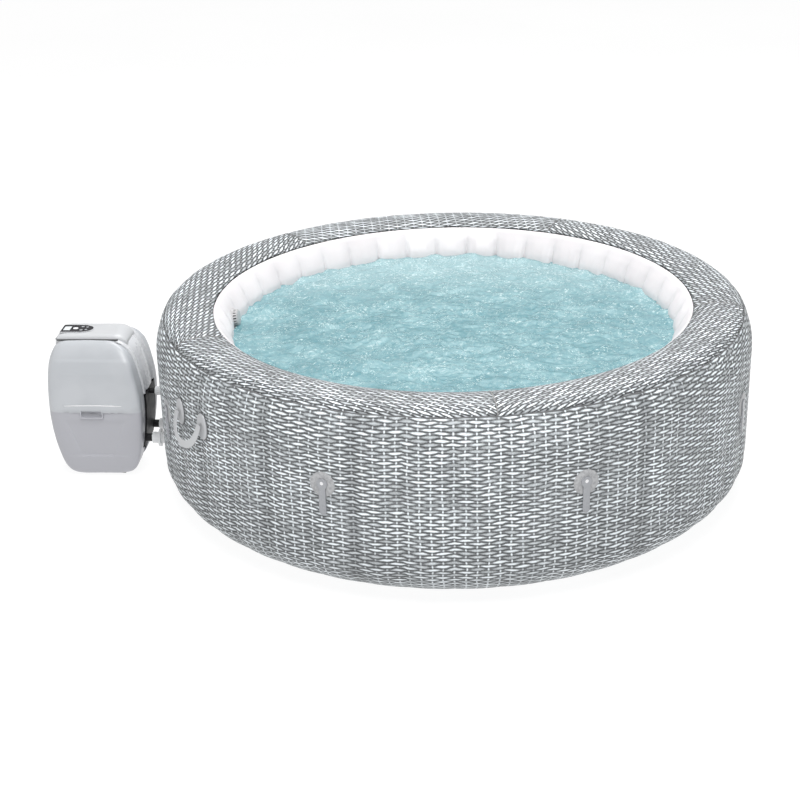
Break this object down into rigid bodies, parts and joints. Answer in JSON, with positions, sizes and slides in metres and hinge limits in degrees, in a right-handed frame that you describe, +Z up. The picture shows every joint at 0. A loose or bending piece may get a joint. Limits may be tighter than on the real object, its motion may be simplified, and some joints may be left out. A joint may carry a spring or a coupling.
{
  "type": "inflatable hot tub",
  "caption": "Round inflatable spa pool with a woven-look wall, white ribbed liner and an egg-shaped heater and air-jet pump joined by unions.",
  "frame": {"origin": "centre of the tub's underside, on the ground", "axes": "+X away from the pump, +Z up"},
  "size_m": [2.5894, 2.159, 0.71],
  "materials": {
    "woven_wall": "printed woven-look vinyl",
    "woven_top": "printed woven-look vinyl",
    "liner": "soft semi-gloss vinyl",
    "base_vinyl": "matt vinyl",
    "web_vinyl": "matt vinyl",
    "grey_moulding": "satin moulded plastic",
    "white_moulding": "satin moulded plastic",
    "clear_union": "translucent moulded plastic",
    "pump_shell": "fine satin",
    "pump_spine": "fine satin",
    "black_plate": "matt moulded plastic",
    "pump_console": "satin",
    "keypad": "gloss",
    "display": "gloss",
    "key_white": "satin",
    "key_grey": "satin",
    "motor_can": "painted",
    "steel": "brushed",
    "board": "lacquered"
  },
  "bodies": {
    "tub": {"outer_wall": "woven_wall", "top_panel_1": "woven_top", "top_panel_2": "woven_top", "top_panel_3": "woven_top", "top_panel_4": "woven_top", "top_panel_5": "woven_top", "inner_wall": "liner", "tub_floor": "liner", "base_sheet": "base_vinyl", "wall_baffles": "web_vinyl", "air_jet_ring": "liner", "handle_pad_1": "grey_moulding", "handle_pad_2": "grey_moulding", "handle_pad_3": "grey_moulding", "handle_pad_4": "grey_moulding", "air_valve_body": "grey_moulding", "drain_body": "grey_moulding", "inlet_wall_fitting": "clear_union", "outlet_wall_fitting": "clear_union", "air_wall_fitting": "clear_union", "debris_screen": "white_moulding"},
    "pump": {"pump_front_shell": "pump_shell", "pump_rear_shell": "pump_shell", "pump_spine": "pump_spine", "pump_hood": "pump_spine", "pump_back_plate": "black_plate", "pump_console": "pump_console", "control_panel": "keypad", "display_window": "display", "pump_base": "black_plate", "cable_gland": "black_plate", "water_motor": "motor_can", "water_volute": "black_plate", "heater_tube": "steel", "blower_housing": "black_plate", "circuit_board": "board"},
    "handle_1": {"handle_strap_1": "grey_moulding"},
    "handle_2": {"handle_strap_2": "grey_moulding"},
    "clip_1": {"cover_clip_1": "grey_moulding"},
    "clip_2": {"cover_clip_2": "grey_moulding"},
    "clip_3": {"cover_clip_3": "grey_moulding"},
    "clip_4": {"cover_clip_4": "grey_moulding"},
    "clip_5": {"cover_clip_5": "grey_moulding"},
    "clip_6": {"cover_clip_6": "grey_moulding"},
    "clip_7": {"cover_clip_7": "grey_moulding"},
    "clip_8": {"cover_clip_8": "grey_moulding"},
    "valve_cap": {"air_valve_cap": "grey_moulding"},
    "drain_cap": {"drain_cap": "grey_moulding"},
    "nut_inlet": {"coupling_nut_1": "clear_union"},
    "nut_outlet": {"coupling_nut_2": "clear_union"},
    "nut_air": {"coupling_nut_3": "clear_union"},
    "impeller": {"impeller": "motor_can"},
    "fan": {"blower_fan": "motor_can"},
    "key_power": {"button_power": "key_white"},
    "key_heat": {"button_heat": "key_grey"},
    "key_bubbles": {"button_bubbles": "key_grey"},
    "key_up": {"button_up": "key_grey"},
    "key_down": {"button_down": "key_grey"}
  },
  "joints": [
    {"name": "pump_detach", "type": "slide", "parent": "tub", "child": "pump", "axis": [-0.9991, 0.0419, 0], "range_m": [0, 0.2]},
    {"name": "handle_1_swing", "type": "hinge", "parent": "tub", "child": "handle_1", "pos_m": [-0.88791, -0.63568, 0.508], "axis": [-0.5821, 0.8131, 0], "range_deg": [0, 150]},
    {"name": "handle_2_swing", "type": "hinge", "parent": "tub", "child": "handle_2", "pos_m": [0.88791, 0.63568, 0.508], "axis": [0.5821, -0.8131, 0], "range_deg": [0, 150]},
    {"name": "clip_1_swing", "type": "hinge", "parent": "tub", "child": "clip_1", "pos_m": [1.00195, 0.41502, 0.458], "axis": [0.3827, -0.9239, 0], "range_deg": [0, 110]},
    {"name": "clip_2_swing", "type": "hinge", "parent": "tub", "child": "clip_2", "pos_m": [0.41502, 1.00195, 0.458], "axis": [0.9239, -0.3827, 0], "range_deg": [0, 110]},
    {"name": "clip_3_swing", "type": "hinge", "parent": "tub", "child": "clip_3", "pos_m": [-0.41502, 1.00195, 0.458], "axis": [0.9239, 0.3827, 0], "range_deg": [0, 110]},
    {"name": "clip_4_swing", "type": "hinge", "parent": "tub", "child": "clip_4", "pos_m": [-1.00195, 0.41502, 0.458], "axis": [0.3827, 0.9239, 0], "range_deg": [0, 110]},
    {"name": "clip_5_swing", "type": "hinge", "parent": "tub", "child": "clip_5", "pos_m": [-1.00195, -0.41502, 0.458], "axis": [-0.3827, 0.9239, 0], "range_deg": [0, 110]},
    {"name": "clip_6_swing", "type": "hinge", "parent": "tub", "child": "clip_6", "pos_m": [-0.41502, -1.00195, 0.458], "axis": [-0.9239, 0.3827, 0], "range_deg": [0, 110]},
    {"name": "clip_7_swing", "type": "hinge", "parent": "tub", "child": "clip_7", "pos_m": [0.41502, -1.00195, 0.458], "axis": [-0.9239, -0.3827, 0], "range_deg": [0, 110]},
    {"name": "clip_8_swing", "type": "hinge", "parent": "tub", "child": "clip_8", "pos_m": [1.00195, -0.41502, 0.458], "axis": [-0.3827, -0.9239, 0], "range_deg": [0, 110]},
    {"name": "valve_cap_turn", "type": "hinge", "parent": "tub", "child": "valve_cap", "pos_m": [-0.90531, 0.61064, 0.48], "axis": [-0.829, 0.5592, 0], "range_deg": [0, 90]},
    {"name": "drain_cap_turn", "type": "hinge", "parent": "tub", "child": "drain_cap", "pos_m": [-0.83882, 0.70385, 0.2], "axis": [-0.766, 0.6428, 0], "continuous": true},
    {"name": "nut_inlet_turn", "type": "hinge", "parent": "pump", "child": "nut_inlet", "pos_m": [-1.12719, -0.01681, 0.15], "axis": [0.9991, -0.0419, 0], "continuous": true},
    {"name": "nut_outlet_turn", "type": "hinge", "parent": "pump", "child": "nut_outlet", "pos_m": [-1.12183, 0.11107, 0.15], "axis": [0.9991, -0.0419, 0], "continuous": true},
    {"name": "nut_air_turn", "type": "hinge", "parent": "pump", "child": "nut_air", "pos_m": [-1.11452, 0.04671, 0.316], "axis": [0.9991, -0.0419, 0], "continuous": true},
    {"name": "impeller_spin", "type": "hinge", "parent": "pump", "child": "impeller", "pos_m": [-1.27406, 0.00135, 0.15], "axis": [0.9991, -0.0419, 0], "continuous": true},
    {"name": "fan_spin", "type": "hinge", "parent": "pump", "child": "fan", "pos_m": [-1.33783, 0.05607, 0.4], "axis": [0.0419, 0.9991, 0], "continuous": true},
    {"name": "key_power_press", "type": "slide", "parent": "pump", "child": "key_power", "axis": [0, 0, -1], "range_m": [0, 0.001], "stiffness_N_per_m": 200},
    {"name": "key_heat_press", "type": "slide", "parent": "pump", "child": "key_heat", "axis": [0, 0, -1], "range_m": [0, 0.001], "stiffness_N_per_m": 200},
    {"name": "key_bubbles_press", "type": "slide", "parent": "pump", "child": "key_bubbles", "axis": [0, 0, -1], "range_m": [0, 0.001], "stiffness_N_per_m": 200},
    {"name": "key_up_press", "type": "slide", "parent": "pump", "child": "key_up", "axis": [0, 0, -1], "range_m": [0, 0.001], "stiffness_N_per_m": 200},
    {"name": "key_down_press", "type": "slide", "parent": "pump", "child": "key_down", "axis": [0, 0, -1], "range_m": [0, 0.001], "stiffness_N_per_m": 200}
  ]
}
